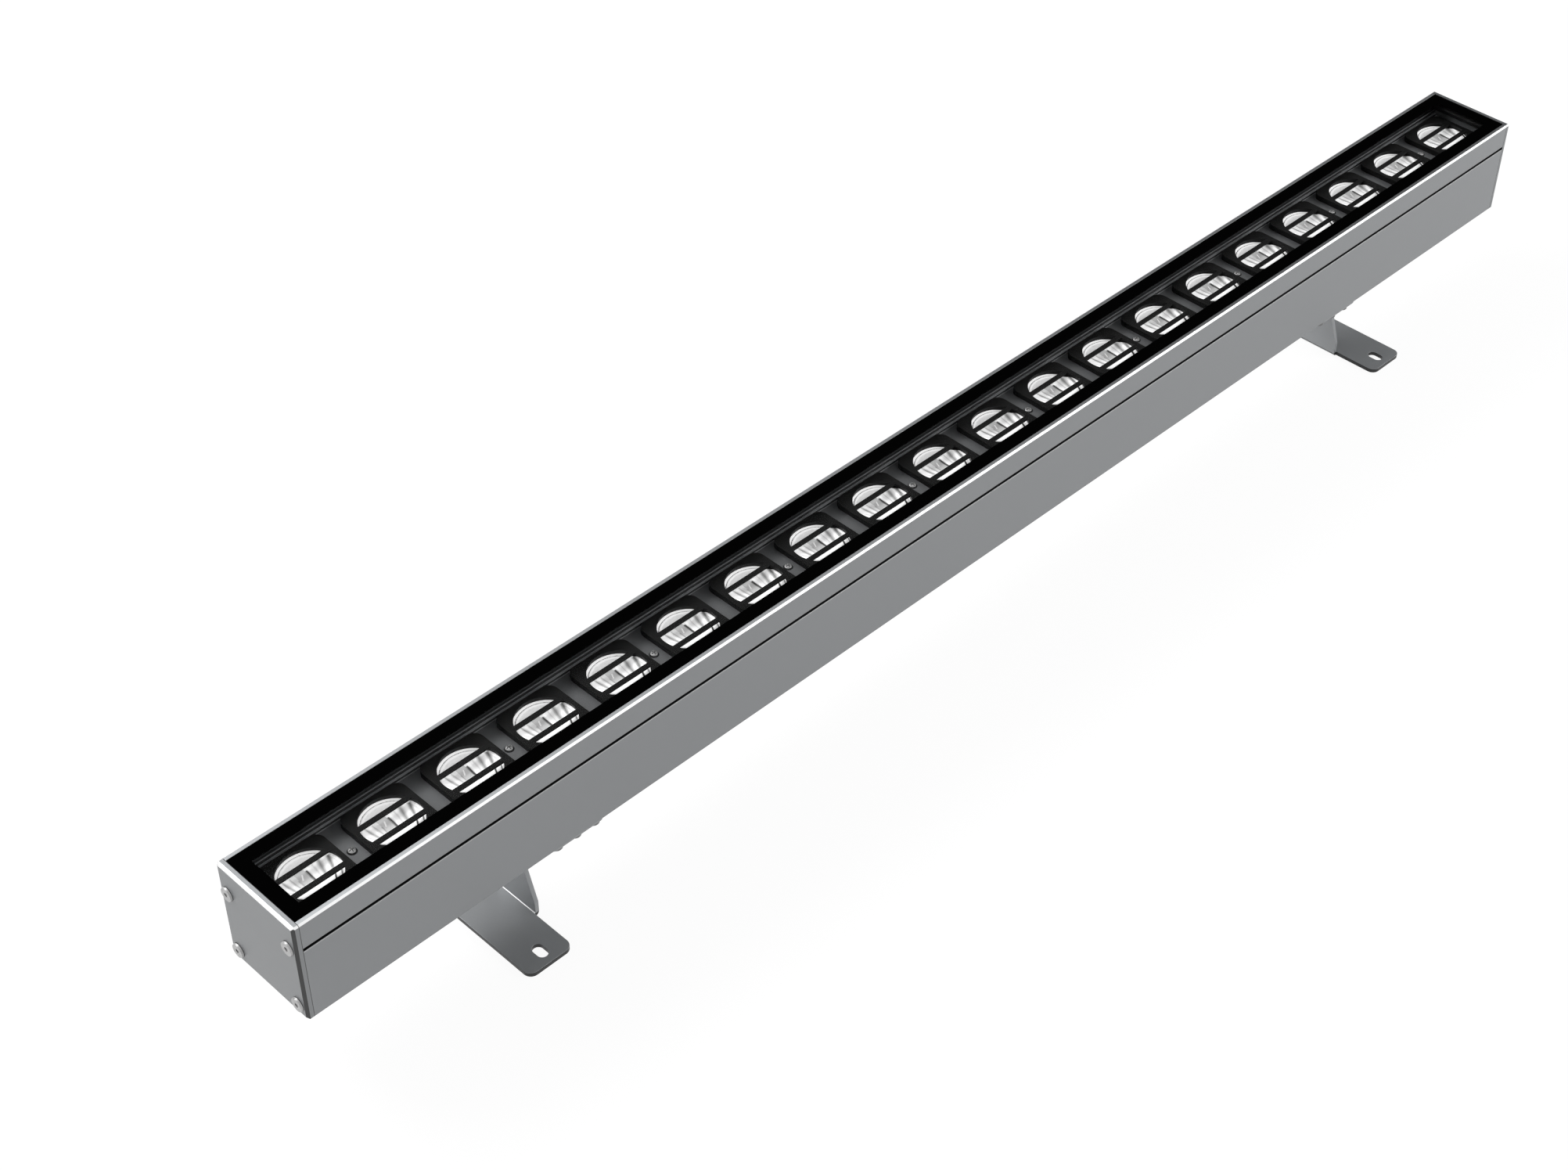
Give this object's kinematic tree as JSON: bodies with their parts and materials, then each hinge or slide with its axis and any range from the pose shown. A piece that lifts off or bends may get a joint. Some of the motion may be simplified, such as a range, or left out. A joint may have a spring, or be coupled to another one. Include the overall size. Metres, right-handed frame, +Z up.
{
  "type": "outdoor wall washer light",
  "caption": "Long glazed bar light with a row of round optics under clear glass, on two tilting bracket feet with slotted bases.",
  "frame": {"origin": "middle of the footprint on the plane that the two feet stand on", "axes": "+X along the bar, to the right when its front side (-Y) is faced; +Z up, out through the glass"},
  "size_m": [1.0026, 0.096, 0.1195],
  "materials": {
    "grey_paint": "satin grey powder coat",
    "black_rubber": "matte silicone",
    "screw_steel": "plain stainless",
    "clear_glass": "polished",
    "black_print": "fired enamel print, glossy black",
    "dark_plate": "satin dark grey",
    "brass_spacer": "turned",
    "black_plastic": "fine matte black moulding",
    "led_yellow": "phosphor and clear dome",
    "white_plastic": "moulded",
    "pad_violet": "soft thermal pad",
    "driver_alu": "mill finish",
    "circuit_green": "solder mask",
    "dark_plastic": "moulded nylon",
    "lead_brown": "silicone sleeve",
    "lead_red": "silicone sleeve",
    "bracket_paint": "satin dark grey powder coat",
    "lens_acrylic": "clear moulded acrylic",
    "board_white": "white solder mask"
  },
  "bodies": {
    "bar": {"housing": "grey_paint", "end_cap_left": "grey_paint", "end_cap_right": "grey_paint", "end_gasket_left": "black_rubber", "end_gasket_right": "black_rubber", "end_cap_screws": "screw_steel", "glass_cover": "clear_glass", "glass_border": "black_print", "glass_gasket": "black_rubber", "chassis_plate": "dark_plate", "chassis_screws": "screw_steel", "chassis_spacers": "brass_spacer", "lens_holders": "black_plastic", "lens_01": "lens_acrylic", "lens_02": "lens_acrylic", "lens_03": "lens_acrylic", "lens_04": "lens_acrylic", "lens_05": "lens_acrylic", "lens_06": "lens_acrylic", "lens_07": "lens_acrylic", "lens_08": "lens_acrylic", "lens_09": "lens_acrylic", "lens_10": "lens_acrylic", "lens_11": "lens_acrylic", "lens_12": "lens_acrylic", "lens_13": "lens_acrylic", "lens_14": "lens_acrylic", "lens_15": "lens_acrylic", "lens_16": "lens_acrylic", "lens_17": "lens_acrylic", "lens_18": "lens_acrylic", "lens_19": "lens_acrylic", "lens_20": "lens_acrylic", "led_board_1": "board_white", "led_board_2": "board_white", "led_board_3": "board_white", "led_board_4": "board_white", "led_board_5": "board_white", "led_chips": "led_yellow", "board_links": "white_plastic", "driver_pad": "pad_violet", "driver_case": "driver_alu", "driver_lid": "driver_alu", "driver_board": "circuit_green", "terminal_block": "dark_plastic", "supply_leads": "lead_brown", "output_leads": "lead_red", "cable_gland": "dark_plastic", "gland_seal": "black_rubber", "gland_nut": "dark_plastic", "gland_locknut": "dark_plastic", "breather_plug": "dark_plastic", "hanger_left": "bracket_paint", "hanger_right": "bracket_paint", "hanger_screws": "screw_steel", "pivot_bolts": "screw_steel", "pivot_washers": "screw_steel", "pivot_nuts": "screw_steel"},
    "left_foot": {"foot_left": "bracket_paint"},
    "right_foot": {"foot_right": "bracket_paint"}
  },
  "joints": [
    {"name": "tilt_left", "type": "hinge", "parent": "bar", "child": "left_foot", "pos_m": [-0.34975, 0, 0.0345], "axis": [1, 0, 0], "range_deg": [-90, 90]},
    {"name": "tilt_right", "type": "hinge", "parent": "bar", "child": "right_foot", "pos_m": [0.34975, 0, 0.0345], "axis": [1, 0, 0], "range_deg": [-90, 90]}
  ]
}
